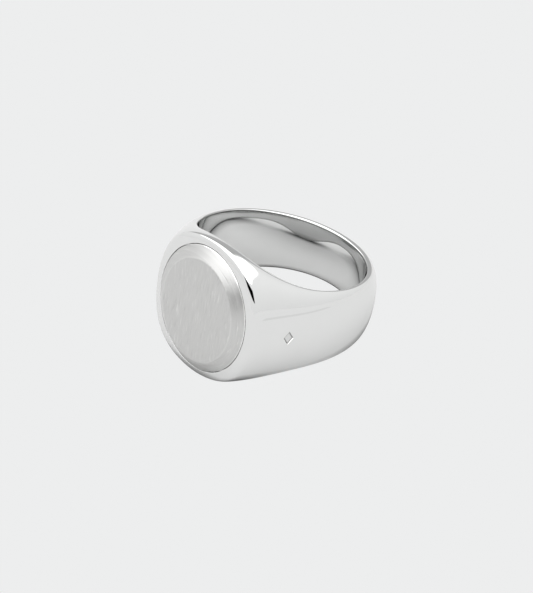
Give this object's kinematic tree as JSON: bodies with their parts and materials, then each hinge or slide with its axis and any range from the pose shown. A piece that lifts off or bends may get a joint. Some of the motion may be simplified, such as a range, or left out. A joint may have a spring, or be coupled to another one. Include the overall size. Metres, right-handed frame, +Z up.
{
  "type": "signet ring",
  "caption": "Polished signet ring with a domed tapered band, full shoulders and a brushed bevelled oval face plate let into the head.",
  "frame": {"origin": "centre of the finger bore, midway between its two open ends", "axes": "+Z along the finger, through the bore; -Y out of the middle of the face; +X to the right of someone who looks at the face with +Z up"},
  "size_m": [0.021, 0.0219, 0.0154],
  "materials": {
    "polished_silver": "high polish with faint wear lines",
    "brushed_silver": "brushed lengthwise, satin",
    "silver_solder": "as flowed, matt"
  },
  "bodies": {
    "root": {"ring_body": "polished_silver", "face_plate": "brushed_silver", "solder_sheet": "silver_solder"}
  },
  "joints": []
}
